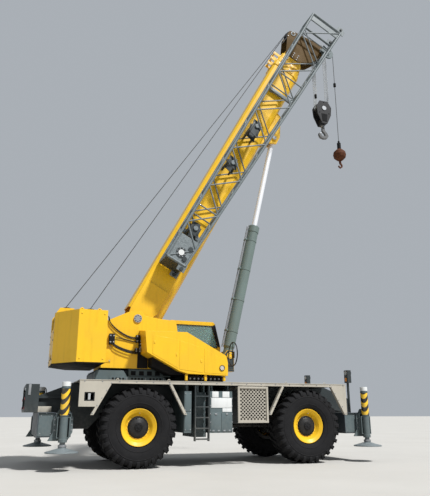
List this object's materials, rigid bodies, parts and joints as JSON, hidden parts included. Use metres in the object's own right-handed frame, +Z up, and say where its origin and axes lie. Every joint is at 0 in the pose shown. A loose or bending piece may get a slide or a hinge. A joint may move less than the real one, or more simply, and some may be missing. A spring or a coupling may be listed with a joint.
{
  "type": "mobile crane",
  "caption": "Two-axle rough-terrain mobile crane: steered wheels, slewing superstructure with cab, telescopic boom, lattice jib, lift cylinder, hook block and outriggers.",
  "frame": {"origin": "on the ground, midway between the axles and in the middle of the track", "axes": "+X the driving direction, +Y the driver's left (cab side), +Z up"},
  "size_m": [10.0015, 3.8796, 15.0377],
  "materials": {
    "yellow_paint": "gloss paint",
    "deck_paint": "satin paint",
    "dark_paint": "satin paint",
    "grey_paint": "satin paint",
    "barrel_paint": "satin paint",
    "engine_iron": "cast, painted",
    "galvanised": "galvanised",
    "chrome_rod": "ground and plated",
    "tyre_rubber": "moulded rubber",
    "black_iron": "black enamel",
    "rust_iron": "weathered",
    "wire_rope": "greased wire",
    "cab_glass": "tinted",
    "black_plastic": "moulded",
    "seat_trim": "moulded and padded"
  },
  "bodies": {
    "root": {"carrier_frame": "dark_paint", "deck": "deck_paint", "outrigger_boxes": "dark_paint", "axles": "dark_paint", "tail_frame": "dark_paint", "engine": "engine_iron", "engine_hood": "grey_paint", "driveline": "dark_paint", "side_boxes": "grey_paint", "ladder": "dark_paint", "mesh_panel": "deck_paint", "slew_pedestal": "dark_paint", "lamps_and_posts": "dark_paint"},
    "outrigger_rear_right": {"beam_rear_right": "dark_paint"},
    "jack_rear_right": {"float_rear_right": "galvanised"},
    "outrigger_rear_left": {"beam_rear_left": "dark_paint"},
    "jack_rear_left": {"float_rear_left": "galvanised"},
    "outrigger_front_right": {"beam_front_right": "dark_paint"},
    "jack_front_right": {"float_front_right": "galvanised"},
    "outrigger_front_left": {"beam_front_left": "dark_paint"},
    "jack_front_left": {"float_front_left": "galvanised"},
    "knuckle_rear_right": {"knuckle_rear_right": "dark_paint"},
    "wheel_rear_right": {"tyre_rear_right": "tyre_rubber", "rim_rear_right": "yellow_paint"},
    "knuckle_rear_left": {"knuckle_rear_left": "dark_paint"},
    "wheel_rear_left": {"tyre_rear_left": "tyre_rubber", "rim_rear_left": "yellow_paint"},
    "knuckle_front_right": {"knuckle_front_right": "dark_paint"},
    "wheel_front_right": {"tyre_front_right": "tyre_rubber", "rim_front_right": "yellow_paint"},
    "knuckle_front_left": {"knuckle_front_left": "dark_paint"},
    "wheel_front_left": {"tyre_front_left": "tyre_rubber", "rim_front_left": "yellow_paint"},
    "superstructure": {"turntable": "yellow_paint", "counterweight": "yellow_paint", "hoist_frames": "yellow_paint", "hoist_drums": "dark_paint", "side_housing": "yellow_paint", "cab_shell": "yellow_paint", "cab_glass": "cab_glass", "cab_interior": "seat_trim", "mirror_hoop": "black_plastic"},
    "door": {"cab_door": "yellow_paint"},
    "boom": {"boom_base": "yellow_paint", "jib": "galvanised"},
    "mid_inner": {"boom_mid_inner": "yellow_paint"},
    "mid_outer": {"boom_mid_outer": "yellow_paint"},
    "fly": {"boom_fly": "yellow_paint", "boom_head": "galvanised", "head_sheaves": "black_iron", "aux_nose": "galvanised"},
    "hook": {"hook_block": "black_iron", "main_falls": "wire_rope"},
    "ball_line": {"ball": "rust_iron"},
    "lift_rod": {"lift_rod": "chrome_rod"},
    "lift_barrel": {"lift_barrel": "barrel_paint"}
  },
  "joints": [
    {"name": "outrigger_rear_right", "type": "slide", "parent": "root", "child": "outrigger_rear_right", "axis": [0, -1, 0], "range_m": [0, 1.9]},
    {"name": "jack_rear_right", "type": "slide", "parent": "outrigger_rear_right", "child": "jack_rear_right", "axis": [0, 0, -1], "range_m": [0, 0.6]},
    {"name": "outrigger_rear_left", "type": "slide", "parent": "root", "child": "outrigger_rear_left", "axis": [0, 1, 0], "range_m": [0, 1.9]},
    {"name": "jack_rear_left", "type": "slide", "parent": "outrigger_rear_left", "child": "jack_rear_left", "axis": [0, 0, -1], "range_m": [0, 0.6]},
    {"name": "outrigger_front_right", "type": "slide", "parent": "root", "child": "outrigger_front_right", "axis": [0, -1, 0], "range_m": [0, 1.9]},
    {"name": "jack_front_right", "type": "slide", "parent": "outrigger_front_right", "child": "jack_front_right", "axis": [0, 0, -1], "range_m": [0, 0.6]},
    {"name": "outrigger_front_left", "type": "slide", "parent": "root", "child": "outrigger_front_left", "axis": [0, 1, 0], "range_m": [0, 1.9]},
    {"name": "jack_front_left", "type": "slide", "parent": "outrigger_front_left", "child": "jack_front_left", "axis": [0, 0, -1], "range_m": [0, 0.6]},
    {"name": "steer_rear_right", "type": "hinge", "parent": "root", "child": "knuckle_rear_right", "pos_m": [-2.325, -1, 0.95], "axis": [0, 0, 1], "range_deg": [-24, 24]},
    {"name": "wheel_rear_right", "type": "hinge", "parent": "knuckle_rear_right", "child": "wheel_rear_right", "pos_m": [-2.325, -1.315, 0.95], "axis": [0, 1, 0], "continuous": true},
    {"name": "steer_rear_left", "type": "hinge", "parent": "root", "child": "knuckle_rear_left", "pos_m": [-2.325, 1, 0.95], "axis": [0, 0, 1], "range_deg": [-24, 24]},
    {"name": "wheel_rear_left", "type": "hinge", "parent": "knuckle_rear_left", "child": "wheel_rear_left", "pos_m": [-2.325, 1.315, 0.95], "axis": [0, 1, 0], "continuous": true},
    {"name": "steer_front_right", "type": "hinge", "parent": "root", "child": "knuckle_front_right", "pos_m": [2.325, -1, 0.95], "axis": [0, 0, 1], "range_deg": [-24, 24]},
    {"name": "wheel_front_right", "type": "hinge", "parent": "knuckle_front_right", "child": "wheel_front_right", "pos_m": [2.325, -1.315, 0.95], "axis": [0, 1, 0], "continuous": true},
    {"name": "steer_front_left", "type": "hinge", "parent": "root", "child": "knuckle_front_left", "pos_m": [2.325, 1, 0.95], "axis": [0, 0, 1], "range_deg": [-24, 24]},
    {"name": "wheel_front_left", "type": "hinge", "parent": "knuckle_front_left", "child": "wheel_front_left", "pos_m": [2.325, 1.315, 0.95], "axis": [0, 1, 0], "continuous": true},
    {"name": "slew", "type": "hinge", "parent": "root", "child": "superstructure", "pos_m": [-0.625, 0, 2.4], "axis": [0, 0, 1], "continuous": true},
    {"name": "cab_door", "type": "slide", "parent": "superstructure", "child": "door", "axis": [-1, 0, 0], "range_m": [0, 0.65]},
    {"name": "boom_luff", "type": "hinge", "parent": "superstructure", "child": "boom", "pos_m": [-2.265, 0, 3.76], "axis": [0, -1, 0], "range_deg": [-62, 16]},
    {"name": "boom_extend_inner", "type": "slide", "parent": "boom", "child": "mid_inner", "axis": [0.4695, 0, 0.8829], "range_m": [0, 8.5]},
    {"name": "boom_extend_outer", "type": "slide", "parent": "mid_inner", "child": "mid_outer", "axis": [0.4695, 0, 0.8829], "range_m": [0, 8.5]},
    {"name": "boom_extend_fly", "type": "slide", "parent": "mid_outer", "child": "fly", "axis": [0.4695, 0, 0.8829], "range_m": [0, 8.5]},
    {"name": "hook_plumb", "type": "hinge", "parent": "fly", "child": "hook", "pos_m": [4.37759, 0, 14.27194], "axis": [0, -1, 0], "range_deg": [-16, 62]},
    {"name": "ball_plumb", "type": "hinge", "parent": "fly", "child": "ball_line", "pos_m": [4.58217, -0.35, 14.13485], "axis": [0, -1, 0], "range_deg": [-16, 62]},
    {"name": "lift_swing", "type": "hinge", "parent": "boom", "child": "lift_rod", "pos_m": [2.31489, 0, 10.3095], "axis": [0, -1, 0], "range_deg": [-15.5, 4]},
    {"name": "lift_stroke", "type": "slide", "parent": "lift_rod", "child": "lift_barrel", "axis": [-0.2257, 0, -0.9742], "range_m": [-2.5356, 0.6551]}
  ],
  "couplings": [
    {"joint": "steer_rear_left", "follows": "steer_rear_right", "ratio": 1},
    {"joint": "steer_front_left", "follows": "steer_front_right", "ratio": 1},
    {"joint": "boom_extend_outer", "follows": "boom_extend_inner", "ratio": 1},
    {"joint": "boom_extend_fly", "follows": "boom_extend_inner", "ratio": 1},
    {"joint": "hook_plumb", "follows": "boom_luff", "ratio": -1},
    {"joint": "ball_plumb", "follows": "boom_luff", "ratio": -1},
    {"joint": "lift_swing", "follows": "boom_luff", "ratio": 0.25},
    {"joint": "lift_stroke", "follows": "boom_luff", "m_per_rad": 2.3423}
  ]
}
